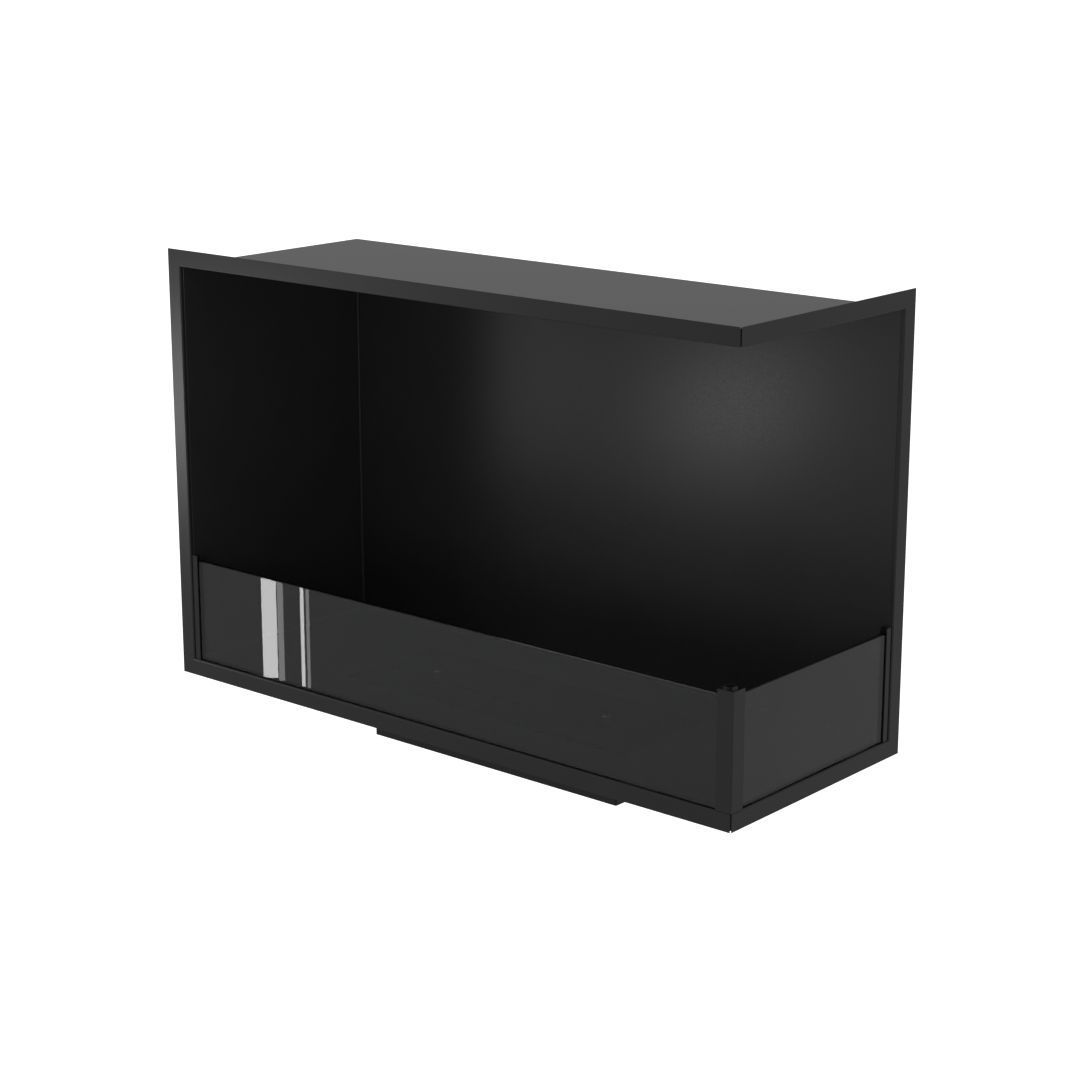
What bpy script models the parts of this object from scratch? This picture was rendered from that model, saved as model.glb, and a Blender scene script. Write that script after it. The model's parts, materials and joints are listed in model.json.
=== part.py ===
"""Corner bioethanol fireplace insert, open at the front and at the right.

A black sheet-steel firebox is built into a wall corner. Face frames trim its two openings, two low glass
panes stand behind them in channels and a corner post, and a burner hangs through the floor into a compartment.
Units are metres. +X runs to the right along the front, the front faces -Y, and +Z is up. The origin is on the
ground, under the middle of the insert's bounding box.
"""

import math

import bmesh
import bpy
from mathutils import Vector

MM = 0.001

# Overall size, over the face frames
WIDTH = 1025 * MM
DEPTH = 390 * MM
HEIGHT = 645 * MM
COMPARTMENT_DROP = 63 * MM      # how far the burner compartment hangs below the face frames

# Sheet metal
FACE = 25 * MM                  # visible width of the face frames
SHEET = 2 * MM                  # firebox panels and face frames
THIN = 1.5 * MM                 # channels, post, compartment, tank
FRAME_RETURN = 6 * MM           # depth of the face frames' return flange
MITRE_GAP = 1.4 * MM            # open mitre where the two face frames meet
GAP = 0.3 * MM                  # clearance between neighbouring pieces
ARRIS = 0.4 * MM                # broken edge on cut sheet

# Glass and its holders
GLASS = 8 * MM
GLASS_SETBACK = 4 * MM          # from the face frame to the pane's outer face
GLASS_BOTTOM = 1.2 * MM         # above the floor, on thin setting blocks
GLASS_TOP = 154 * MM            # above the floor
HOLDER_HEIGHT = 161.5 * MM
CHANNEL_SETBACK = 2 * MM
CHANNEL_WIDTH = 13.1 * MM
CHANNEL_LEG = 11 * MM
POST_SETBACK = 0.5 * MM
POST_LEG = 25 * MM
POST_TUBE = 14 * MM
STRIP_WIDTH = 6 * MM
BLOCK_LENGTH = 60 * MM

# Burner
BURNER_FROM_FRONT = 177.5 * MM  # the burner's centre line, from the face frame
COMPARTMENT_LENGTH = 456 * MM
COMPARTMENT_WIDTH = 135 * MM
COMPARTMENT_LIP = 12 * MM
COVER_LENGTH = 517 * MM
COVER_WIDTH = 180 * MM
COVER_THICKNESS = 3 * MM
TANK_LENGTH = 441 * MM
TANK_WIDTH = 121 * MM
TANK_DEPTH = 75 * MM
TANK_LIP = 10 * MM
FIBRE_HEIGHT = 40 * MM
SLOT_LENGTH = 425 * MM
SLOT_WIDTH = 44 * MM
LID_LENGTH = 445 * MM
LID_WIDTH = 60 * MM
LID_SKIRT = 4 * MM
LID_SKIRT_PLAY = 2 * MM         # between the lid's skirt and the slot
KNOB_SPACING = 317 * MM
KNOB_RADIUS = 7 * MM
KNOB_HEIGHT = 5.5 * MM

ROUND_SEGMENTS = 24
ARC_SEGMENTS = 4

# Planes that the pieces are placed from
LEFT, RIGHT = -WIDTH / 2, WIDTH / 2
FRONT, REAR = -DEPTH / 2, DEPTH / 2
BASE = COMPARTMENT_DROP
TOP = BASE + HEIGHT
WALL = LEFT + FACE              # inner face of the left side panel
BACK = REAR - FACE              # inner face of the back panel
FLOOR = BASE + FACE             # upper face of the floor panel
CEILING = TOP - FACE            # lower face of the top panel
PANEL_FRONT = FRONT + FRAME_RETURN + GAP
PANEL_RIGHT = RIGHT - FRAME_RETURN - GAP
HOLDER_BOTTOM = FLOOR + GAP
HOLDER_TOP = FLOOR + GAP + HOLDER_HEIGHT
BURNER = Vector(((WALL + RIGHT) / 2, FRONT + BURNER_FROM_FRONT, FLOOR))


def principled(name, colour, roughness, metallic=0.0):
    material = bpy.data.materials.new(name)
    material.use_nodes = True
    shader = material.node_tree.nodes["Principled BSDF"]
    shader.inputs["Base Color"].default_value = (*colour, 1.0)
    shader.inputs["Roughness"].default_value = roughness
    shader.inputs["Metallic"].default_value = metallic
    return material


def add_object(name, bm, material, location=(0, 0, 0)):
    """Turns a bmesh into a named object with outward normals."""
    bmesh.ops.recalc_face_normals(bm, faces=bm.faces)
    mesh = bpy.data.meshes.new(name)
    bm.to_mesh(mesh)
    bm.free()
    mesh.materials.append(material)
    piece = bpy.data.objects.new(name, mesh)
    piece.location = location
    bpy.context.scene.collection.objects.link(piece)
    return piece


def break_edges(piece, width=ARRIS, segments=1):
    bevel = piece.modifiers.new("Broken edges", "BEVEL")
    bevel.width = width
    bevel.segments = segments
    bevel.limit_method = "ANGLE"
    return piece


def block(name, low, high, material, arris=ARRIS):
    """A rectangular piece between two corners, with its origin in the middle of its base."""
    low, high = Vector(low), Vector(high)
    origin = Vector(((low.x + high.x) / 2, (low.y + high.y) / 2, low.z))
    bm = bmesh.new()
    bmesh.ops.create_cube(bm, size=1)
    bmesh.ops.scale(bm, vec=high - low, verts=bm.verts)
    bmesh.ops.translate(bm, vec=(0, 0, (high.z - low.z) / 2), verts=bm.verts)
    piece = add_object(name, bm, material, origin)
    if arris:
        break_edges(piece, arris)
    return piece


def rounded(corners):
    """Outline points for (x, y, radius) corners, with an arc at each corner that has a radius."""
    outline = []
    for index, (x, y, radius) in enumerate(corners):
        here = Vector((x, y))
        if not radius:
            outline.append(here)
            continue
        before = (Vector(corners[index - 1][:2]) - here).normalized()
        after = (Vector(corners[(index + 1) % len(corners)][:2]) - here).normalized()
        half_angle = before.angle(after) / 2
        centre = here + (before + after).normalized() * radius / math.sin(half_angle)
        start = here + before * radius / math.tan(half_angle) - centre
        end = here + after * radius / math.tan(half_angle) - centre
        sweep = start.angle_signed(end)
        for step in range(ARC_SEGMENTS + 1):
            angle = -sweep * step / ARC_SEGMENTS
            turn = Vector((math.cos(angle), math.sin(angle)))
            offset = (start.x * turn.x - start.y * turn.y, start.x * turn.y + start.y * turn.x)
            outline.append(centre + Vector(offset))
    return outline


def prism(name, outline, low, high, material):
    """An upright prism over an outline in X and Y."""
    bm = bmesh.new()
    base = bm.faces.new([bm.verts.new((point[0], point[1], low)) for point in outline])
    extruded = bmesh.ops.extrude_face_region(bm, geom=[base])
    risen = [item for item in extruded["geom"] if isinstance(item, bmesh.types.BMVert)]
    bmesh.ops.translate(bm, vec=(0, 0, high - low), verts=risen)
    return add_object(name, bm, material)


def turned(name, profile, material, location, direction=(0, 0, 1)):
    """A round piece from (radius, height) points, with its axis along direction."""
    bm = bmesh.new()
    points = [bm.verts.new((radius, 0, height)) for radius, height in profile]
    edges = [bm.edges.new(pair) for pair in zip(points, points[1:])]
    bmesh.ops.spin(bm, geom=points + edges, cent=(0, 0, 0), axis=(0, 0, 1),
                   angle=math.tau, steps=ROUND_SEGMENTS, use_merge=True)
    bmesh.ops.remove_doubles(bm, verts=bm.verts, dist=0.001 * MM)
    piece = add_object(name, bm, material, location)
    piece.rotation_euler = Vector((0, 0, 1)).rotation_difference(Vector(direction)).to_euler()
    piece.data.shade_smooth()
    piece.data.set_sharp_from_angle(angle=math.radians(35))
    return piece


def cut(piece, cutter):
    """Takes the cutter's shape out of the piece and hides the cutter."""
    cutter.hide_render = True
    cutter.display_type = "WIRE"
    boolean = piece.modifiers.new("Cut", "BOOLEAN")
    boolean.operation = "DIFFERENCE"
    boolean.solver = "EXACT"
    boolean.object = cutter


def drill(pieces, centre, radius, length, direction=(0, 0, 1)):
    """A round hole of that length, centred on a point, through each piece."""
    profile = [(0, -length / 2), (radius, -length / 2), (radius, length / 2), (0, length / 2)]
    drill_bit = turned("drill bit", profile, paint, centre, direction)
    for piece in pieces:
        cut(piece, drill_bit)


def remove_everything():
    for item in list(bpy.data.objects):
        bpy.data.objects.remove(item, do_unlink=True)


remove_everything()

paint = principled("Black powder-coated steel", (0.018, 0.018, 0.019), 0.5)
cover_paint = principled("Black heat-resistant paint", (0.015, 0.015, 0.015), 0.55)
toughened_glass = principled("Toughened glass", (0.75, 0.8, 0.78), 0.05)
silicone = principled("Black silicone rubber", (0.012, 0.012, 0.012), 0.7)
stainless = principled("Stainless steel", (0.55, 0.54, 0.52), 0.35, 1.0)
zinc = principled("Zinc-plated steel", (0.5, 0.5, 0.5), 0.4, 1.0)
fibre = principled("White ceramic fibre", (0.8, 0.79, 0.76), 0.95)


# Firebox panels. They butt against the face frames' return flanges.

def make_top_panel():
    return block("top_panel", (WALL - SHEET, PANEL_FRONT, CEILING),
                 (PANEL_RIGHT, BACK + SHEET, CEILING + SHEET), paint)


def make_back_panel():
    return block("back_panel", (WALL - SHEET, BACK, FLOOR + GAP),
                 (PANEL_RIGHT, BACK + SHEET, CEILING - GAP), paint)


def make_left_side_panel():
    return block("left_side_panel", (WALL - SHEET, PANEL_FRONT, FLOOR + GAP),
                 (WALL, BACK - GAP, CEILING - GAP), paint)


def make_floor_panel():
    """The floor has an opening as large as the inside of the burner compartment."""
    floor = block("floor_panel", (WALL - SHEET, PANEL_FRONT, FLOOR - SHEET),
                  (PANEL_RIGHT, BACK + SHEET, FLOOR), paint)
    reach = Vector((COMPARTMENT_LENGTH / 2 - THIN, COMPARTMENT_WIDTH / 2 - THIN, 4 * SHEET))
    cut(floor, block("floor opening", BURNER - reach, BURNER + reach, paint, arris=0))
    return floor


# Face frames: an L-section swept round three sides of each opening. In the profile, the first number runs
# outwards from the opening's edge and the second runs back from the frame's face.

def frame_profile():
    bend = 2 * MM
    return rounded([
        (0, 0, bend),
        (0, FRAME_RETURN, 0),
        (SHEET, FRAME_RETURN, 0),
        (SHEET, SHEET, bend / 4),
        (FACE, SHEET, ARRIS),
        (FACE, 0, ARRIS),
    ])


def sweep_frame(name, stations):
    """Carries the profile through stations of (point, outward direction, backward direction)."""
    bm = bmesh.new()
    rings = []
    for point, outward, backward in stations:
        ring = [bm.verts.new(Vector(point) + out * Vector(outward) + back * Vector(backward))
                for out, back in frame_profile()]
        rings.append(ring)
    for first, second in zip(rings, rings[1:]):
        for index in range(len(first)):
            bm.faces.new((first[index - 1], first[index], second[index], second[index - 1]))
    bm.faces.new(rings[0])
    bm.faces.new(rings[-1])
    return add_object(name, bm, paint)


def make_front_face_frame():
    """Bottom rail, left stile and top rail, mitred at the near corner."""
    end = RIGHT - MITRE_GAP
    return sweep_frame("front_face_frame", [
        ((end, FRONT, FLOOR), (0, 0, -1), (-1, 1, 0)),
        ((WALL, FRONT, FLOOR), (-1, 0, -1), (0, 1, 0)),
        ((WALL, FRONT, CEILING), (-1, 0, 1), (0, 1, 0)),
        ((end, FRONT, CEILING), (0, 0, 1), (-1, 1, 0)),
    ])


def make_side_face_frame():
    """Bottom rail, rear stile and top rail, mitred at the near corner."""
    start = FRONT + MITRE_GAP
    return sweep_frame("side_face_frame", [
        ((RIGHT, start, FLOOR), (0, 0, -1), (-1, 1, 0)),
        ((RIGHT, BACK, FLOOR), (0, 1, -1), (-1, 0, 0)),
        ((RIGHT, BACK, CEILING), (0, 1, 1), (-1, 0, 0)),
        ((RIGHT, start, CEILING), (0, 0, 1), (-1, 1, 0)),
    ])


def angle_outline(corner_x, corner_y, leg, thickness, bend):
    """An L with its outer corner at the near right and its legs running left and back."""
    return rounded([
        (corner_x, corner_y, bend),
        (corner_x, corner_y + leg, 0),
        (corner_x - thickness, corner_y + leg, 0),
        (corner_x - thickness, corner_y + thickness, bend / 4),
        (corner_x - leg, corner_y + thickness, 0),
        (corner_x - leg, corner_y, 0),
    ])


def make_corner_cleats():
    """Three-sided brackets that close the open mitre from behind and tie the two face frames together."""
    leg = 11.5 * MM
    end_play = 2 * MM
    corner_x, corner_y = RIGHT - SHEET - GAP, FRONT + SHEET + GAP
    brackets = {
        "upper_corner_cleat": (CEILING + SHEET + GAP, TOP - end_play, THIN),
        "lower_corner_cleat": (BASE + end_play, FLOOR - SHEET - GAP, -THIN),
    }
    for name, (low, high, plate) in brackets.items():
        cleat = block(name, (corner_x - leg, corner_y, low), (corner_x, corner_y + leg, high), paint)
        hollow = block("cleat hollow", (corner_x - 2 * leg, corner_y + THIN, low + plate),
                       (corner_x - THIN, corner_y + 2 * leg, high + plate), paint, arris=0)
        cut(cleat, hollow)


def rectangular_shell(name, levels, material):
    """A shell round the burner's centre, lofted through (half length, half width, height from the floor)."""
    corners = [(-1, -1), (1, -1), (1, 1), (-1, 1)]
    bm = bmesh.new()
    rings = [[bm.verts.new((x * half_length, y * half_width, height)) for x, y in corners]
             for half_length, half_width, height in levels]
    for lower, upper in zip(rings, rings[1:]):
        for index in range(4):
            bm.faces.new((lower[index - 1], lower[index], upper[index], upper[index - 1]))
    bm.faces.new(rings[0])
    bm.faces.new(rings[-1])
    return add_object(name, bm, material, BURNER)


def make_burner_compartment():
    """A folded tray under the floor, with outward lips and an open seam at each upright corner."""
    length, width = COMPARTMENT_LENGTH / 2, COMPARTMENT_WIDTH / 2
    lip_top = -SHEET - GAP
    tray = rectangular_shell("burner_compartment", [
        (length - THIN, width - THIN, THIN - FLOOR),
        (length - THIN, width - THIN, lip_top),
        (length + COMPARTMENT_LIP, width + COMPARTMENT_LIP, lip_top),
        (length + COMPARTMENT_LIP, width + COMPARTMENT_LIP, lip_top - THIN),
        (length, width, lip_top - THIN),
        (length, width, -FLOOR),
    ], paint)
    seam = 1 * MM
    for x in (-length, length):
        for y in (-width, width):
            low = BURNER + Vector((x - seam, y - seam, -FLOOR - seam))
            high = BURNER + Vector((x + seam, y + seam, lip_top - 2 * THIN))
            cut(tray, block("corner seam", low, high, paint, arris=0))
    return tray


# Glass holders

def make_left_glass_channel():
    near, far = FRONT + CHANNEL_SETBACK, FRONT + CHANNEL_SETBACK + CHANNEL_WIDTH
    web, tip = WALL + GAP, WALL + GAP + CHANNEL_LEG
    outline = rounded([
        (web, near, THIN), (tip, near, 0), (tip, near + THIN, 0), (web + THIN, near + THIN, 0),
        (web + THIN, far - THIN, 0), (tip, far - THIN, 0), (tip, far, 0), (web, far, THIN),
    ])
    return prism("left_glass_channel", outline, HOLDER_BOTTOM, HOLDER_TOP, paint)


def make_rear_glass_channel():
    near, far = RIGHT - CHANNEL_SETBACK, RIGHT - CHANNEL_SETBACK - CHANNEL_WIDTH
    web, tip = BACK - GAP, BACK - GAP - CHANNEL_LEG
    outline = rounded([
        (near, web, THIN), (near, tip, 0), (near - THIN, tip, 0), (near - THIN, web - THIN, 0),
        (far + THIN, web - THIN, 0), (far + THIN, tip, 0), (far, tip, 0), (far, web, THIN),
    ])
    return prism("rear_glass_channel", outline, HOLDER_BOTTOM, HOLDER_TOP, paint)


TUBE_OFFSET = GLASS_SETBACK + GLASS + GAP       # the tube's near faces, just behind the panes
TUBE_X = RIGHT - TUBE_OFFSET - POST_TUBE / 2
TUBE_Y = FRONT + TUBE_OFFSET + POST_TUBE / 2
FOOT_TOP = FLOOR + GAP + THIN
PANE_CORNER = GLASS_SETBACK + GLASS + 2 * MM    # from the near corner to the panes' nearer ends


def make_corner_post_angle():
    outline = angle_outline(RIGHT - POST_SETBACK, FRONT + POST_SETBACK, POST_LEG, THIN, THIN)
    return prism("corner_post_angle", outline, HOLDER_BOTTOM, HOLDER_TOP, paint)


def square_outline(half, radius):
    return rounded([(TUBE_X - half, TUBE_Y - half, radius), (TUBE_X + half, TUBE_Y - half, radius),
                    (TUBE_X + half, TUBE_Y + half, radius), (TUBE_X - half, TUBE_Y + half, radius)])


def make_corner_post_tube():
    tube = prism("corner_post_tube", square_outline(POST_TUBE / 2, THIN), FOOT_TOP + GAP, HOLDER_TOP, paint)
    bore = prism("tube bore", square_outline(POST_TUBE / 2 - THIN, THIN / 2), FLOOR, HOLDER_TOP + THIN, paint)
    cut(tube, bore)
    return tube


def make_corner_post_foot():
    """A stepped plate that joins the angle to the tube between the panes' ends and takes the fixing screw."""
    near, far = POST_SETBACK + THIN + GAP, TUBE_OFFSET + POST_TUBE
    step = PANE_CORNER - GAP
    outline = [(RIGHT - across, FRONT + along) for across, along in (
        (near, near), (near, step), (TUBE_OFFSET, step), (TUBE_OFFSET, far),
        (far, far), (far, TUBE_OFFSET), (step, TUBE_OFFSET), (step, near))]
    return prism("corner_post_foot", outline, FLOOR + GAP, FOOT_TOP, paint)


def make_corner_post_screw(floor, foot):
    shank, head, head_height = 2.5 * MM, 4.75 * MM, 3.3 * MM
    seat = FLOOR - SHEET - GAP
    tip = FOOT_TOP + 6 * MM
    profile = [(0, seat - head_height), (head - MM, seat - head_height), (head, seat - head_height / 2),
               (head, seat), (shank, seat), (shank, tip - ARRIS), (shank - ARRIS, tip), (0, tip)]
    turned("corner_post_screw", profile, zinc, (TUBE_X, TUBE_Y, 0))
    drill([floor, foot], (TUBE_X, TUBE_Y, FLOOR), shank + GAP, 20 * MM)


def make_corner_post_nut():
    across_corners = 4.62 * MM
    low = FOOT_TOP + GAP
    high = low + 4 * MM
    outline = [(TUBE_X + across_corners * math.cos(math.tau * side / 6),
                TUBE_Y + across_corners * math.sin(math.tau * side / 6)) for side in range(6)]
    nut = prism("corner_post_nut", outline, low, high, zinc)
    drill([nut], (TUBE_X, TUBE_Y, low), 2.5 * MM + GAP, 20 * MM)


def make_channel_rivets(left_channel, side_panel, rear_channel, back_panel):
    """Two blind rivets hold each channel, with the dome inside it and the formed tail outside the firebox."""
    shank, dome, tail = 1.2 * MM, 2.4 * MM, 2 * MM
    grip = THIN + GAP + SHEET + 2 * GAP
    profile = [(0, 1 * MM), (dome * 0.6, 0.8 * MM), (dome, 0.25 * MM), (dome, 0), (shank, 0),
               (shank, -grip), (tail, -grip), (tail, -grip - 1.5 * MM), (shank, -grip - 2.4 * MM),
               (0, -grip - 2.4 * MM)]
    inset = CHANNEL_SETBACK + CHANNEL_WIDTH - THIN - GAP - dome     # as far from the panel's edge as they fit
    for place, height in (("lower", 30 * MM), ("upper", 130 * MM)):
        level = FLOOR + height
        at_left = Vector((WALL + GAP + THIN + GAP, FRONT + inset, level))
        turned(f"left_channel_rivet_{place}", profile, paint, at_left, (1, 0, 0))
        drill([left_channel, side_panel], at_left, shank + GAP, 16 * MM, (1, 0, 0))
        at_rear = Vector((RIGHT - inset, BACK - GAP - THIN - GAP, level))
        turned(f"rear_channel_rivet_{place}", profile, paint, at_rear, (0, -1, 0))
        drill([rear_channel, back_panel], at_rear, shank + GAP, 16 * MM, (0, -1, 0))


# Glazing

PANE_END_PLAY = GAP + THIN + 2 * MM             # from the firebox wall to a pane's end, past web and rivets


def make_glazing_strips():
    """Soft strips that hold the panes: behind them in the channels, and in front of them at the post."""
    low, high = FOOT_TOP + GAP, FLOOR + GLASS_TOP
    pane_rear = GLASS_SETBACK + GLASS + GAP
    channel_rear = CHANNEL_SETBACK + CHANNEL_WIDTH - THIN - GAP
    start, end = PANE_END_PLAY, PANE_END_PLAY + STRIP_WIDTH
    block("left_glazing_strip", (WALL + start, FRONT + pane_rear, low),
          (WALL + end, FRONT + channel_rear, high), silicone)
    block("rear_glazing_strip", (RIGHT - channel_rear, BACK - end, low),
          (RIGHT - pane_rear, BACK - start, high), silicone)
    post_face = POST_SETBACK + THIN + GAP
    pane_face = GLASS_SETBACK - GAP
    start, end = PANE_CORNER + 2 * MM, PANE_CORNER + 2 * MM + STRIP_WIDTH
    block("corner_front_glazing_strip", (RIGHT - end, FRONT + post_face, low),
          (RIGHT - start, FRONT + pane_face, high), silicone)
    block("corner_side_glazing_strip", (RIGHT - pane_face, FRONT + start, low),
          (RIGHT - post_face, FRONT + end, high), silicone)


def make_glass_panes():
    low, high = FLOOR + GLASS_BOTTOM, FLOOR + GLASS_TOP
    polished = 0.8 * MM
    block("front_glass_pane", (WALL + PANE_END_PLAY, FRONT + GLASS_SETBACK, low),
          (RIGHT - PANE_CORNER, FRONT + GLASS_SETBACK + GLASS, high), toughened_glass, polished)
    block("side_glass_pane", (RIGHT - GLASS_SETBACK - GLASS, FRONT + PANE_CORNER, low),
          (RIGHT - GLASS_SETBACK, BACK - PANE_END_PLAY, high), toughened_glass, polished)


def make_setting_blocks():
    """Two thin pads carry each pane clear of the steel floor."""
    low, high = FLOOR + GAP, FLOOR + GLASS_BOTTOM - GAP
    near, far = GLASS_SETBACK, GLASS_SETBACK + GLASS
    front_length = RIGHT - WALL
    side_length = BACK - FRONT
    for place, share in (("left", 0.15), ("right", 0.85)):
        x = WALL + share * front_length
        block(f"front_setting_block_{place}", (x - BLOCK_LENGTH / 2, FRONT + near, low),
              (x + BLOCK_LENGTH / 2, FRONT + far, high), silicone, arris=0)
    for place, share in (("near", 0.22), ("far", 0.8)):
        y = FRONT + share * side_length
        block(f"side_setting_block_{place}", (RIGHT - far, y - BLOCK_LENGTH / 2, low),
              (RIGHT - near, y + BLOCK_LENGTH / 2, high), silicone, arris=0)


# Burner: lifts out of the floor as one unit

def about_burner(length, width, low, high):
    """Corners of a box of that length and width round the burner's centre, with heights from the floor."""
    half = Vector((length / 2, width / 2, 0))
    return BURNER - half + Vector((0, 0, low)), BURNER + half + Vector((0, 0, high))


COVER_TOP = GAP + COVER_THICKNESS


def make_burner_cover():
    cover = block("burner_cover_plate", *about_burner(COVER_LENGTH, COVER_WIDTH, GAP, COVER_TOP), cover_paint)
    slot = block("slot", *about_burner(SLOT_LENGTH, SLOT_WIDTH, -COVER_TOP, 2 * COVER_TOP), paint, arris=0)
    cut(cover, slot)
    return cover


def make_burner_tank():
    """An open tank with inward lips, which are fixed under the cover plate."""
    length, width = TANK_LENGTH / 2, TANK_WIDTH / 2
    tank = rectangular_shell("burner_tank", [
        (length - THIN, width - THIN, THIN - TANK_DEPTH),
        (length - THIN, width - THIN, -THIN),
        (length - TANK_LIP, width - TANK_LIP, -THIN),
        (length - TANK_LIP, width - TANK_LIP, 0),
        (length, width, 0),
        (length, width, -TANK_DEPTH),
    ], stainless)
    return break_edges(tank)


def make_ceramic_fibre_pad():
    """The absorbent filling that holds the fuel."""
    play = 2 * THIN + 4 * MM
    low = THIN + GAP - TANK_DEPTH
    size = about_burner(TANK_LENGTH - play, TANK_WIDTH - play, low, low + FIBRE_HEIGHT)
    return block("ceramic_fibre_pad", *size, fibre, 3 * MM)


LID_BOTTOM = COVER_TOP + GAP
LID_TOP = LID_BOTTOM + SHEET


def make_snuffer_lid():
    """A plate over the slot, with a skirt that drops into it."""
    length = SLOT_LENGTH / 2 - LID_SKIRT_PLAY
    width = SLOT_WIDTH / 2 - LID_SKIRT_PLAY
    lid = rectangular_shell("snuffer_lid", [
        (length - THIN, width - THIN, LID_BOTTOM),
        (length - THIN, width - THIN, LID_BOTTOM - LID_SKIRT),
        (length, width, LID_BOTTOM - LID_SKIRT),
        (length, width, LID_BOTTOM),
        (LID_LENGTH / 2, LID_WIDTH / 2, LID_BOTTOM),
        (LID_LENGTH / 2, LID_WIDTH / 2, LID_TOP),
    ], cover_paint)
    return break_edges(lid)


def make_lid_knobs(lid):
    """Two turned knobs, each held by a screw from below."""
    low = LID_TOP + GAP
    neck = 0.6 * KNOB_RADIUS
    knob_profile = [(0, 0), (KNOB_RADIUS * 0.8, 0), (KNOB_RADIUS * 0.8, 0.6 * MM), (neck, 1.2 * MM),
                    (neck, KNOB_HEIGHT * 0.45), (KNOB_RADIUS, KNOB_HEIGHT * 0.65),
                    (KNOB_RADIUS, KNOB_HEIGHT - MM), (KNOB_RADIUS - MM, KNOB_HEIGHT), (0, KNOB_HEIGHT)]
    shank, head = 1.5 * MM, 2.8 * MM
    screw_profile = [(0, -2 * MM), (head * 0.8, -2 * MM), (head, -1.2 * MM), (head, 0), (shank, 0),
                     (shank, 5 * MM), (0, 5 * MM)]
    for side, sign in (("left", -1), ("right", 1)):
        x = BURNER.x + sign * KNOB_SPACING / 2
        knob = turned(f"{side}_lid_knob", knob_profile, stainless, (x, BURNER.y, FLOOR + low))
        seat = FLOOR + LID_BOTTOM - GAP
        turned(f"{side}_knob_screw", screw_profile, zinc, (x, BURNER.y, seat))
        reach = 5 * MM + GAP
        drill([lid, knob], (x, BURNER.y, seat + reach / 2), shank + GAP, reach)


def main():
    make_top_panel()
    back_panel = make_back_panel()
    side_panel = make_left_side_panel()
    floor = make_floor_panel()
    make_front_face_frame()
    make_side_face_frame()
    make_corner_cleats()
    make_burner_compartment()
    left_channel = make_left_glass_channel()
    rear_channel = make_rear_glass_channel()
    make_channel_rivets(left_channel, side_panel, rear_channel, back_panel)
    make_corner_post_angle()
    make_corner_post_tube()
    foot = make_corner_post_foot()
    make_corner_post_screw(floor, foot)
    make_corner_post_nut()
    make_glazing_strips()
    make_glass_panes()
    make_setting_blocks()
    make_burner_cover()
    make_burner_tank()
    make_ceramic_fibre_pad()
    lid = make_snuffer_lid()
    make_lid_knobs(lid)


main()
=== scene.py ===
# %% [markdown]
# # A black corner fireplace insert
#
# The object is a bioethanol fireplace for building into a wall corner. It is folded from sheet
# steel and powder coated black, with two low panes of toughened glass and a burner let into its
# floor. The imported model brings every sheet, screw and pane in place. This file gives them their
# finishes, adds the small things that a model built for motion leaves out, and sets up the light
# and the camera. We start by loading the model, which stays exactly where it is.

# %% Load the fixed frame
import json
import math

import bpy
import numpy as np
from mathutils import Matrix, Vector


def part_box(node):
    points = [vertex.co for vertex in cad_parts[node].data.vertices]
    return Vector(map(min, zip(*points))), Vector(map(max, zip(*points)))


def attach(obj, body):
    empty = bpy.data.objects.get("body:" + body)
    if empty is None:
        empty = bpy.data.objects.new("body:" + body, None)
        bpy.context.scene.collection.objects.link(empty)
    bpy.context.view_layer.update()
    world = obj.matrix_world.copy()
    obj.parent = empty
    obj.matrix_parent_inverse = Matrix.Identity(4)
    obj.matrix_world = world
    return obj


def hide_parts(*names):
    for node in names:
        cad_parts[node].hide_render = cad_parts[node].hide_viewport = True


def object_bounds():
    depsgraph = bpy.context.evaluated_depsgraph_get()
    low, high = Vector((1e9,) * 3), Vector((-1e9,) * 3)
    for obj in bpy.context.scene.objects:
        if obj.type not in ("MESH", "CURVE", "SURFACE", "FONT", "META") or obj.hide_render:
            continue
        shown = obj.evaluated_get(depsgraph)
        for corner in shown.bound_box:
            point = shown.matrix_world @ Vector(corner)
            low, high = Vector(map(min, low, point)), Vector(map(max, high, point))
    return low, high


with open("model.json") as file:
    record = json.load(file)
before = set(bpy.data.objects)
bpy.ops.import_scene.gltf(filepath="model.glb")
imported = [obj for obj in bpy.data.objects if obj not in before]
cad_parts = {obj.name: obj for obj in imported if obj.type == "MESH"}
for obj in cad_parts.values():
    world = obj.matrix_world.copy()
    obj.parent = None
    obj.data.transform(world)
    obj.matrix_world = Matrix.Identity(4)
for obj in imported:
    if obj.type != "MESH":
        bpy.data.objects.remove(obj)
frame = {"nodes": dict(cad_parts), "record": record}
nodes = frame["nodes"]
model_low, model_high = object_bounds()
MM = 0.001
print("model box in mm:", [round(side / MM) for side in model_high - model_low])

# %% [markdown]
# ## Places to measure from
#
# A fitter works from the inside faces of the box, and so does this file. They are read from the
# model's own pieces, so nothing here goes out of step with it: the wall is the inside of the left
# side panel, and the back, the floor and the ceiling are the insides of the other panels.

# %% Read the inside faces of the firebox
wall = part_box("left_side_panel")[1].x
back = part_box("back_panel")[0].y
floor_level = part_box("floor_panel")[1].z
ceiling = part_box("top_panel")[0].z
front = model_low.y
print("inside in mm: wall %.1f, back %.1f, floor %.1f, ceiling %.1f"
      % (wall / MM, back / MM, floor_level / MM, ceiling / MM))

# %% [markdown]
# ## Colours and nodes
#
# Paint makers give colours as sRGB hex values, and a shader wants linear light. One function does
# the change. A second one adds a shader node with its settings and its links, so that a material
# reads like a list. The others start a material, lay a noise whose grains have a real size, and
# turn a noise into a range of values.

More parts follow.
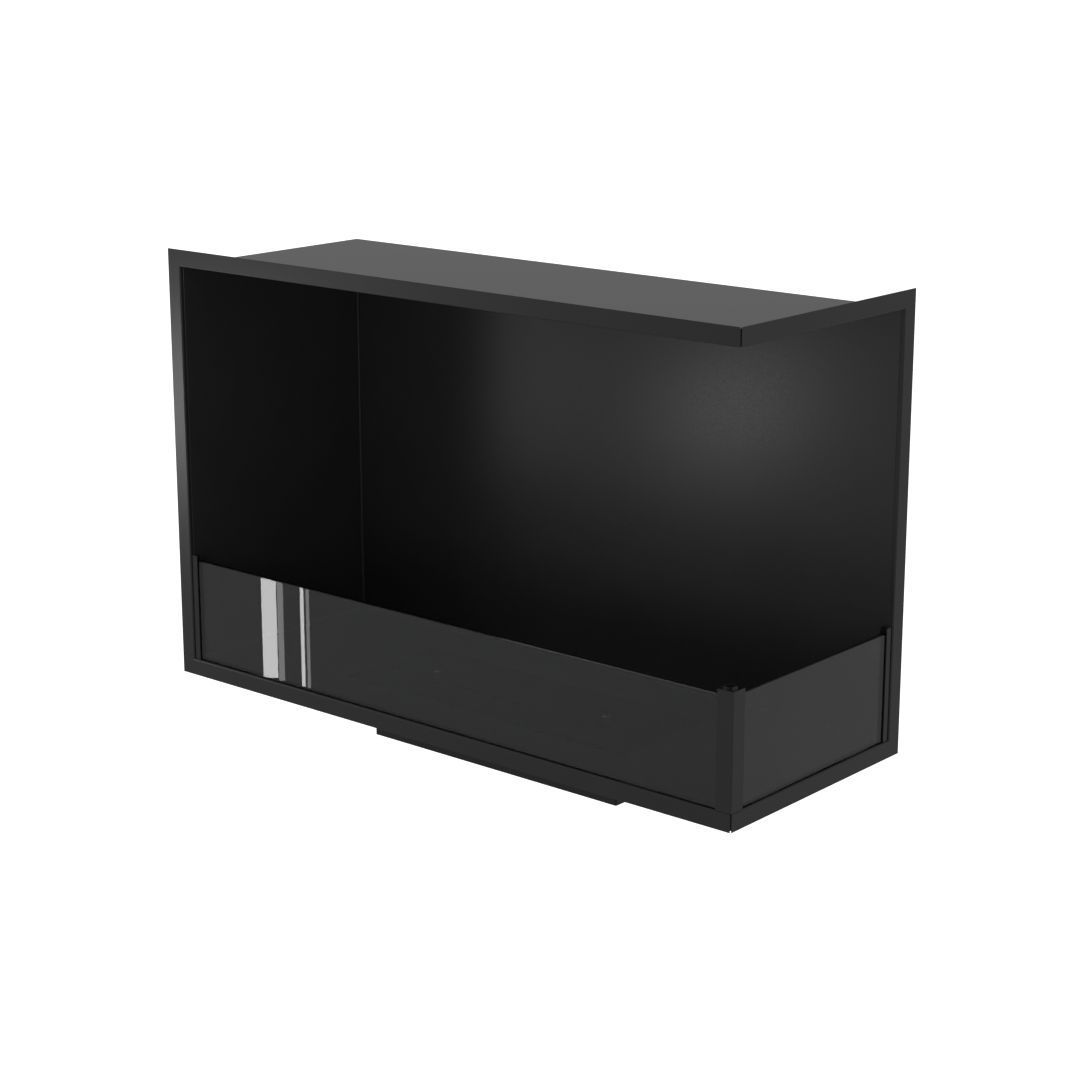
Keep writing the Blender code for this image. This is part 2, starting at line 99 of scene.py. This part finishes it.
# %% Helpers for colours and nodes
def linear(hex_colour):
    """sRGB hex to linear RGBA: a channel c is c/12.92 below 0.04045, else ((c+0.055)/1.055)^2.4."""
    channels = [int(hex_colour[i:i + 2], 16) / 255 for i in (1, 3, 5)]
    return (*[c / 12.92 if c <= 0.04045 else ((c + 0.055) / 1.055) ** 2.4 for c in channels], 1.0)


def add(tree, kind, settings=None, **links):
    """Adds a node. Settings are its attributes. A link is named for a socket, or is i and a number,
    and holds a plain value or another node's output."""
    node = tree.nodes.new("ShaderNode" + kind)
    for name, value in (settings or {}).items():
        setattr(node, name, value)
    for name, value in links.items():
        numbered = name[0] == "i" and name[1:].isdigit()
        socket = node.inputs[int(name[1:]) if numbered else name.replace("_", " ")]
        if isinstance(value, bpy.types.NodeSocket):
            tree.links.new(value, socket)
        else:
            socket.default_value = value
    return node


def new_material(name, **sockets):
    """An empty Principled material with the given sockets set, its tree and its shader."""
    material = bpy.data.materials.new(name)
    material.use_nodes = True
    tree = material.node_tree
    shader = tree.nodes["Principled BSDF"]
    for socket, value in sockets.items():
        shader.inputs[socket.replace("_", " ")].default_value = value
    return material, tree, shader


def noise(tree, place, size, **sockets):
    """A noise whose grains are about one size across."""
    return add(tree, "TexNoise", Vector=place, Scale=1 / size, **sockets).outputs["Fac"]


def spread(tree, pattern, low, high):
    """A noise mostly stays between 0.3 and 0.7. This stretches that part of it over low to high."""
    return add(tree, "MapRange", Value=pattern, From_Min=0.3, From_Max=0.7, To_Min=low,
               To_Max=high).outputs["Result"]


print("near black #2A2A2A in linear light:", [round(c, 4) for c in linear("#2A2A2A")[:3]])

# %% [markdown]
# ## Powder-coated steel
#
# Epoxy-polyester powder is sprayed on dry and melts in an oven. It cures to a tough skin that is
# slightly uneven: a fine grain of about half a millimetre, and a slow wave called orange peel. The
# colour is a near black and never a pure one, and it drifts a little where the powder lay thicker.
# The grain spreads highlights softly, so it belongs in the bump, with a little of it in the
# roughness. Real grain would be too fine to show, so it is drawn about three times as coarse.

# %% Powder coat
GRAIN = 1.6 * MM
ORANGE_PEEL = 14 * MM
PEEL_DEPTH = 0.2 * MM
POWDER_CLOUD = 90 * MM
GLOSS_DRIFT = 0.04


def powder_coat(name, thin_colour, thick_colour, roughness, grain_depth):
    """Near-black paint: grain sets bump and gloss, a slow wave the peel, a slower one the tone."""
    material, tree, shader = new_material(name, IOR=1.5)
    place = add(tree, "TexCoord").outputs["Object"]
    grain = noise(tree, place, GRAIN, Detail=3.0, Roughness=0.6)
    peel = noise(tree, place, ORANGE_PEEL, Detail=1.0)
    cloud = noise(tree, place, POWDER_CLOUD, Detail=2.0)
    tone = add(tree, "MixRGB", Fac=cloud, Color1=linear(thin_colour), Color2=linear(thick_colour))
    tree.links.new(tone.outputs[0], shader.inputs["Base Color"])
    gloss = spread(tree, grain, roughness - GLOSS_DRIFT, roughness + GLOSS_DRIFT)
    tree.links.new(gloss, shader.inputs["Roughness"])
    wave = add(tree, "Bump", Height=peel, Strength=0.05, Distance=PEEL_DEPTH)
    bump = add(tree, "Bump", Height=grain, Strength=0.35, Distance=grain_depth,
               Normal=wave.outputs["Normal"])
    tree.links.new(bump.outputs["Normal"], shader.inputs["Normal"])
    return material


black_steel = powder_coat("Powder-coated steel, fine-textured black", thin_colour="#2E2E2E",
                          thick_colour="#272727", roughness=0.31, grain_depth=0.05 * MM)

# %% [markdown]
# ## Heat-resistant paint
#
# Powder would scorch on the burner, so its cover and lid wear a silicone stoving paint, which is
# matt and a shade darker. The spray leaves a fine dry grain. A heated steel plate is never quite
# even in tone either, so the slow cloud is kept.

# %% Burner paint
burner_black = powder_coat("Heat-resistant silicone paint, matt black", thin_colour="#1D1D1D",
                           thick_colour="#171717", roughness=0.5, grain_depth=0.04 * MM)

# %% [markdown]
# ## Toughened glass
#
# The windscreens are float glass, heated and quenched. The surface stays as flat as the tin it
# floated on, so there is no roughness at all, and the edge is ground and polished. This glass has a
# light smoky tint, which is why the reflection from its far face is weaker than the one from its
# near face. The tint is set on the shader itself, as one colour for the whole pane.

# %% Glass
GLASS_IOR = 1.56

glass, _, _ = new_material(
    "Toughened float glass, light grey, polished edges", Base_Color=linear("#B4B6B6"),
    Roughness=0.0, IOR=GLASS_IOR, Transmission_Weight=1.0)
print("glass reflects %.1f%% head on" % (100 * ((GLASS_IOR - 1) / (GLASS_IOR + 1)) ** 2))

# %% [markdown]
# ## Black silicone
#
# The glazing strips and the pads under the panes are extruded silicone rubber. It is soft, so its
# skin takes a fine satin texture from the die, drawn out along its length, and it has a dusty sheen
# at a low angle.

# %% Silicone rubber
DIE_LINE = 0.8 * MM
DIE_STRETCH = 0.08
DIE_LINE_DEPTH = 0.04 * MM

silicone, tree, shader = new_material(
    "Extruded silicone rubber, black", Base_Color=linear("#1B1B1C"), Roughness=0.62, IOR=1.41,
    Sheen_Weight=0.15, Sheen_Roughness=0.5)
place = add(tree, "TexCoord").outputs["Object"]
drawn_out = add(tree, "Mapping", Vector=place, Scale=(1, 1, DIE_STRETCH)).outputs["Vector"]
die_lines = noise(tree, drawn_out, DIE_LINE, Detail=2.0)
bump = add(tree, "Bump", Height=die_lines, Strength=0.3, Distance=DIE_LINE_DEPTH)
tree.links.new(bump.outputs["Normal"], shader.inputs["Normal"])

# %% [markdown]
# ## Brushed stainless steel
#
# The fuel tank is bare stainless steel. A belt brushed its sheet in one direction, which leaves
# scratches a few tenths of a millimetre wide and many millimetres long. Stretching a noise along
# the brushing direction draws them. They go into the roughness and the bump, and a metal keeps its
# default IOR.

# %% Stainless steel
SCRATCH_WIDTH = 0.5 * MM
SCRATCH_STRETCH = 0.02
SCRATCH_DEPTH = 0.02 * MM

stainless, tree, shader = new_material("Brushed stainless steel", Metallic=1.0, Anisotropic=0.5)
place = add(tree, "TexCoord").outputs["Object"]
along_x = add(tree, "Mapping", Vector=place, Scale=(SCRATCH_STRETCH, 1, 1)).outputs["Vector"]
scratches = noise(tree, along_x, SCRATCH_WIDTH, Detail=3.0, Roughness=0.65)
tone = add(tree, "MixRGB", Fac=scratches, Color1=linear("#A9A8A5"), Color2=linear("#CFCDC9"))
tree.links.new(tone.outputs[0], shader.inputs["Base Color"])
tree.links.new(spread(tree, scratches, low=0.22, high=0.38), shader.inputs["Roughness"])
bump = add(tree, "Bump", Height=scratches, Strength=0.25, Distance=SCRATCH_DEPTH)
tree.links.new(bump.outputs["Normal"], shader.inputs["Normal"])

# %% [markdown]
# ## Darkened stainless steel
#
# The two knobs on the lid are turned stainless steel, heated until the surface tarnishes to a
# duller grey. The metal still shines through the film, so it stays a metal in the shader, and the
# film varies in soft patches.

# %% Darkened steel
TARNISH_PATCH = 3 * MM

darkened, tree, shader = new_material("Turned stainless steel, heat darkened", Metallic=1.0)
place = add(tree, "TexCoord").outputs["Object"]
film = noise(tree, place, TARNISH_PATCH, Detail=2.0)
tone = add(tree, "MixRGB", Fac=film, Color1=linear("#8A8A8C"), Color2=linear("#A2A2A3"))
tree.links.new(tone.outputs[0], shader.inputs["Base Color"])
tree.links.new(spread(tree, film, low=0.24, high=0.34), shader.inputs["Roughness"])

# %% [markdown]
# ## Zinc-plated steel
#
# Rivets, screws and the nut under the floor are plated with zinc and passivated, which leaves a
# bluish grey film. The film varies in patches of a millimetre or two, both in colour and in gloss.

# %% Zinc plate
PASSIVE_PATCH = 1.8 * MM

zinc, tree, shader = new_material("Zinc-plated steel, blue passivated", Metallic=1.0)
place = add(tree, "TexCoord").outputs["Object"]
patches = noise(tree, place, PASSIVE_PATCH, Detail=2.0)
tone = add(tree, "MixRGB", Fac=patches, Color1=linear("#9AA0A6"), Color2=linear("#BDC1C4"))
tree.links.new(tone.outputs[0], shader.inputs["Base Color"])
tree.links.new(spread(tree, patches, low=0.28, high=0.45), shader.inputs["Roughness"])

# %% [markdown]
# ## Ceramic fibre
#
# The burner holds its fuel in a block of ceramic fibre. Alumina and silica fibres a few microns
# thick are blown into a mat and needled, so the block is a soft white felt that scatters nearly all
# light. The needle marks sit some five millimetres apart, and the fibres between them are drawn
# much coarser than they are, so that they show.

# %% Ceramic fibre felt
NEEDLE_PITCH = 5 * MM
PRICK_DEPTH = 0.6 * MM
FIBRE = 1.2 * MM
FIBRE_DEPTH = 0.3 * MM

fibre, tree, shader = new_material("Needled ceramic fibre, white", Roughness=0.95, IOR=1.45,
                                   Sheen_Weight=0.25)
place = add(tree, "TexCoord").outputs["Object"]
needles = add(tree, "TexVoronoi", Vector=place, Scale=1 / NEEDLE_PITCH).outputs["Distance"]
strands = noise(tree, place, FIBRE, Detail=4.0, Roughness=0.7, Distortion=1.5)
tone = add(tree, "MixRGB", Fac=strands, Color1=linear("#D9D5CB"), Color2=linear("#F4F2EC"))
tree.links.new(tone.outputs[0], shader.inputs["Base Color"])
pricks = add(tree, "Bump", Height=needles, Strength=0.5, Distance=PRICK_DEPTH)
bump = add(tree, "Bump", Height=strands, Strength=0.6, Distance=FIBRE_DEPTH,
           Normal=pricks.outputs["Normal"])
tree.links.new(bump.outputs["Normal"], shader.inputs["Normal"])

# %% [markdown]
# ## Dress the model
#
# Each node in the record names the kind of finish it has, so one table gives every piece its
# material.

# %% Put a material on every node
FINISHES = {"black_steel": black_steel, "burner_black": burner_black, "clear_glass": glass,
            "black_silicone": silicone, "stainless_steel": stainless, "zinc_steel": zinc,
            "ceramic_fibre": fibre}
for part in frame["record"]["subparts"]:
    mesh = nodes[part["node"]].data
    mesh.materials.clear()
    mesh.materials.append(FINISHES[part["material_slot"]])
for knob in ("left_lid_knob", "right_lid_knob"):
    nodes[knob].data.materials[0] = darkened
print("finishes:", {name: material.name for name, material in FINISHES.items()})

# %% [markdown]
# ## Surfaces from numbers
#
# The new pieces are surfaces on a grid. The rows go along the piece and the columns go round it, so
# the faces follow from the grid, and each end is closed by a ring of triangles to one middle point.
# All vertices are worked out together as one array, and a single call hands them to the mesh.

# %% A closed surface from a grid of points
def closed_surface(name, grid, material):
    """Rows go along the piece, columns round it. A fan to the mean of its ring closes each end."""
    rows, columns, _ = grid.shape
    index = np.arange(rows * columns).reshape(rows, columns)
    following = np.roll(index, -1, axis=1)
    sides = np.stack([index[:-1], following[:-1], following[1:], index[1:]], axis=-1).reshape(-1, 4)
    start, end = rows * columns, rows * columns + 1
    first_fan = np.stack([np.full(columns, start), following[0], index[0]], axis=-1)
    last_fan = np.stack([np.full(columns, end), index[-1], following[-1]], axis=-1)
    points = np.concatenate([grid.reshape(-1, 3), grid[:1].mean(axis=1), grid[-1:].mean(axis=1)])
    mesh = bpy.data.meshes.new(name)
    mesh.from_pydata(points.tolist(), [], sides.tolist() + first_fan.tolist() + last_fan.tolist())
    mesh.polygons.foreach_set("use_smooth", np.ones(len(mesh.polygons), dtype=bool))
    mesh.materials.append(material)
    piece = bpy.data.objects.new(name, mesh)
    bpy.context.scene.collection.objects.link(piece)
    return piece


# %% [markdown]
# ## The weld in the back corner
#
# The side panel and the back panel are joined by a thin seam weld down the inside of the corner,
# painted with the rest. It could be left to a bevel, but a bead is round and catches the light as
# one thin line, and a long weld has ripples where the torch moved on. So it gets its own surface: a
# quarter circle, carried up the corner, whose radius swells and shrinks a little once for each
# ripple.

# %% Seam weld
WELD_RADIUS = 2.6 * MM
RIPPLE_PITCH = 3.0 * MM
RIPPLE_DEPTH = 0.07
WELD_CLEARANCE = 0.05 * MM
ROWS_PER_RIPPLE = 6
POINTS_ROUND = 9


def seam_weld(name, low, high):
    """A quarter circle round the corner. Its radius at height z is R(1 + d sin(2 pi z / pitch))."""
    height = np.linspace(low, high, int((high - low) / RIPPLE_PITCH * ROWS_PER_RIPPLE))
    radius = WELD_RADIUS * (1 + RIPPLE_DEPTH * np.sin(2 * np.pi * height / RIPPLE_PITCH))
    turn = np.linspace(0, np.pi / 2, POINTS_ROUND)
    out_x, out_y = np.concatenate([[0], np.cos(turn)]), np.concatenate([[0], np.sin(turn)])
    x = wall + WELD_CLEARANCE + radius[:, None] * out_x
    y = back - WELD_CLEARANCE - radius[:, None] * out_y
    grid = np.stack([x, y, np.broadcast_to(height[:, None], x.shape)], axis=-1)
    return closed_surface(name, grid[:, ::-1], black_steel)


weld = seam_weld("rear_corner_seam_weld", floor_level + WELD_CLEARANCE, ceiling - WELD_CLEARANCE)
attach(weld, "firebox")
print("weld faces:", len(weld.data.polygons))

# %% [markdown]
# ## The ceramic fibre block
#
# Cut felt has soft edges and a surface that is nowhere quite flat. A box with rounded corners comes
# from one formula: take the sines and cosines of a sphere and raise them to a small power, which
# pushes the sphere out into its box. A few slow waves, each in its own direction, then press the
# surface in by up to a millimetre and a half. They only ever press inwards, so that the block stays
# in its place in the tank.

# %% Fibre block
ROUNDING = 0.12
DENT = 1.5 * MM
BLOCK_ROWS, BLOCK_COLUMNS = 97, 256


def signed_power(values, power):
    """|v|^power with the sign of v kept."""
    return np.sign(values) * np.abs(values) ** power


def slow_wave(place, x=np.inf, y=np.inf, z=np.inf, start=0.0):
    """sin(px/x + py/y + pz/z + start): the lengths are how far one radian of the wave reaches."""
    return np.sin(place[..., 0] / x + place[..., 1] / y + place[..., 2] / z + start)


def fibre_block(name, low, high):
    """A sphere's sines and cosines, to a small power, fill a box. Waves from 0 to 1 press it in."""
    middle, half = (low + high) / 2, (high - low) / 2
    tilt = np.linspace(-np.pi / 2, np.pi / 2, BLOCK_ROWS)[1:-1, None]
    turn = np.linspace(0, 2 * np.pi, BLOCK_COLUMNS, endpoint=False)[None, :]
    ring = signed_power(np.cos(tilt), ROUNDING)
    unit = np.stack([ring * signed_power(np.cos(turn), ROUNDING),
                     ring * signed_power(np.sin(turn), ROUNDING),
                     signed_power(np.sin(tilt), ROUNDING) * np.ones_like(turn)], axis=-1)
    place = unit * half
    waves = (slow_wave(place, x=9 * MM) + slow_wave(place, x=23 * MM, y=11 * MM, start=1)
             + slow_wave(place, y=7 * MM, z=8 * MM, start=2))
    pressed = DENT * (waves / 6 + 0.5)
    return closed_surface(name, middle + place - unit * pressed[..., None], fibre)


pad_low, pad_high = (np.array(corner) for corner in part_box("ceramic_fibre_pad"))
block = fibre_block("ceramic_fibre_block", pad_low, pad_high)
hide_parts("ceramic_fibre_pad")
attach(block, "burner")
print("fibre block in mm:", np.round((pad_high - pad_low) / MM, 1))

# %% [markdown]
# ## Floor
#
# The studio floor is a large pale sheet just under the object. It answers the camera with white, so
# that the object stands on its own, and it glows a soft grey for the paint and the glass, as a
# light table does, which keeps the object's own shadow out of its reflections. A Light Path node
# tells the camera from the rest.

# %% Studio floor
FLOOR_REACH = 60.0
FLOOR_DROP = 1 * MM
FLOOR_GLOW = 0.265

floor_mesh = bpy.data.meshes.new("studio floor")
floor_mesh.from_pydata([(x * FLOOR_REACH, y * FLOOR_REACH, -FLOOR_DROP)
                        for x, y in ((-1, -1), (1, -1), (1, 1), (-1, 1))], [], [(0, 1, 2, 3)])
studio_floor = bpy.data.objects.new("studio floor", floor_mesh)
bpy.context.scene.collection.objects.link(studio_floor)

pale, tree, shader = new_material("Pale studio floor", Base_Color=linear("#777777"), Roughness=0.9)
to_camera = add(tree, "LightPath").outputs["Is Camera Ray"]
strength = add(tree, "Math", {"operation": "ADD"}, i0=to_camera, i1=FLOOR_GLOW)
glow = add(tree, "Emission", Strength=strength.outputs[0])
lit = add(tree, "AddShader", i0=shader.outputs[0], i1=glow.outputs[0])
tree.links.new(lit.outputs[0], tree.nodes["Material Output"].inputs["Surface"])
floor_mesh.materials.append(pale)

# %% [markdown]
# ## Camera
#
# The camera stands a little above the object, to the right of its front, and looks along a
# diagonal, so that both glazed sides show. Its place and its turn fix the picture, and a long lens
# keeps the box from flaring. Azimuth and elevation are how a person would say where they stand, so
# the direction is worked out from those.

# %% Camera
EYE = Vector((2.204, -2.556, 1.216))
AZIMUTH, ELEVATION = math.radians(40.36), math.radians(14.9)
LENS = 81.9

camera_data = bpy.data.cameras.new("camera")
camera = bpy.data.objects.new("camera", camera_data)
bpy.context.scene.collection.objects.link(camera)
bpy.context.scene.camera = camera
camera.location = EYE
look = Vector((-math.sin(AZIMUTH) * math.cos(ELEVATION), math.cos(AZIMUTH) * math.cos(ELEVATION),
               -math.sin(ELEVATION)))
camera.rotation_euler = look.to_track_quat("-Z", "Y").to_euler()
camera_data.lens = LENS
bpy.context.scene.view_settings.view_transform = "Standard"
print("camera looks along", [round(part, 3) for part in look])

# %% [markdown]
# ## An even grey studio
#
# Black paint shows almost nothing but reflections, so lighting it means giving it something to
# reflect. An even grey world does most of the work: the top panel is seen at a low angle, where
# even black paint mirrors a quarter of the light, and so it comes out much paler than the front.
# The camera itself sees white.

# %% World
STUDIO_GREY = 0.405

world = bpy.data.worlds.new("studio")
bpy.context.scene.world = world
world.use_nodes = True
sky = world.node_tree
to_camera = add(sky, "LightPath").outputs["Is Camera Ray"]
seen = add(sky, "MixRGB", Fac=to_camera, Color1=(*[STUDIO_GREY] * 3, 1), Color2=(1, 1, 1, 1))
sky.links.new(seen.outputs[0], sky.nodes["Background"].inputs["Color"])

# %% [markdown]
# ## Soft boxes
#
# Each lamp has one job, as in a studio where flags and grids keep a lamp off everything else. Light
# linking is the flag here: a lamp lights the nodes in its own collection and no others. One draws
# the round glow on the back panel, and a tall narrow one beside the left stile gives that panel its
# upright edge between dark and light. Another low lamp brightens the middle of the left stile and
# fades along the rails, a high one catches the rail's edges, and a fill lifts the left wall out of
# black.

# %% A lamp with one job
def softbox(name, place, aim, size, power, only_on):
    """A rectangular lamp at a place, turned to an aim. It lights only the given nodes, and only
    reflections show it."""
    lamp = bpy.data.lights.new(name, "AREA")
    lamp.shape = "RECTANGLE"
    lamp.size, lamp.size_y = size
    lamp.energy = power
    holder = bpy.data.objects.new(name, lamp)
    bpy.context.scene.collection.objects.link(holder)
    holder.location = place
    holder.rotation_euler = (Vector(aim) - Vector(place)).to_track_quat("-Z", "Y").to_euler()
    holder.visible_camera = False
    holder.visible_transmission = False
    lit_by_it = bpy.data.collections.new(name)
    for node in only_on:
        lit_by_it.objects.link(nodes[node])
    holder.light_linking.receiver_collection = lit_by_it


# %% The soft boxes: name, place, aim, size, watts, nodes
for name, place, aim, size, power, only_on in (
        ("back panel glow", (-0.38, -0.72, 0.30), (0.238, back, 0.53), (0.14, 0.14), 0.36,
         ["back_panel"]),
        ("back panel edge glow", (-0.64, -0.42, 0.40), (-0.15, back, 0.55), (0.06, 0.35), 0.09,
         ["back_panel"]),
        ("front frame glow", (-1.75, -1.30, 0.14), (wall, front, 0.47), (0.30, 0.30), 1.9,
         ["front_face_frame"]),
        ("rail edge glow", (-1.50, -0.65, 1.06), (wall, front, floor_level), (0.30, 0.30), 1.2,
         ["front_face_frame"]),
        ("left wall fill", (0.20, -1.40, 0.70), (wall, 0, 0.35), (0.50, 0.50), 4,
         ["left_side_panel"])):
    softbox(name, place, aim, size, power, only_on)
    print("lamp:", name, power, "W")

# %% [markdown]
# ## Strips in the glass
#
# A pane shows as glass when something upright and bright stands in it. Two strip lights do that. A
# ray from the eye to the pane goes on with only its part across the pane turned round, so the strip
# stands along that mirrored ray, on the studio floor. Thick glass gives each bright line a dimmer
# twin from its far face. The refracted twin lies too close to its line to read, so the strips are
# kept out of the glass's inside, and a dimmer strip beside each one stands for the twin.

# %% Strips, placed by the law of reflection
STRIP_HEIGHT = 175 * MM
STRIP_DISTANCE = 280 * MM
PANE_MIDDLE = 160 * MM
BRIGHT, TWIN = 7.4, 2.1
glass_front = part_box("front_glass_pane")[0].y


def strip_in_glass(name, left, right, radiance):
    """The strip whose reflection spans left to right on the pane. Watts: radiance x area x pi."""
    spot = Vector(((left + right) / 2, glass_front, PANE_MIDDLE))
    ray = spot - EYE
    mirrored = Vector((ray.x, -ray.y, 0)).normalized()
    width = (right - left) * abs(mirrored.y)
    place = spot + mirrored * STRIP_DISTANCE
    middle = STRIP_HEIGHT / 2
    softbox(name, place=(place.x, place.y, middle), aim=(spot.x, spot.y, middle),
            size=(width, STRIP_HEIGHT), power=radiance * width * STRIP_HEIGHT * math.pi,
            only_on=["front_glass_pane", "side_glass_pane"])


strip_in_glass("broad strip", left=-0.3420, right=-0.3080, radiance=BRIGHT)
strip_in_glass("broad strip twin", left=-0.3080, right=-0.2945, radiance=TWIN)
strip_in_glass("narrow strip", left=-0.2600, right=-0.2520, radiance=BRIGHT)
strip_in_glass("narrow strip twin", left=-0.2480, right=-0.2410, radiance=TWIN)
print("strips stand %.0f mm from the pane" % (STRIP_DISTANCE / MM))
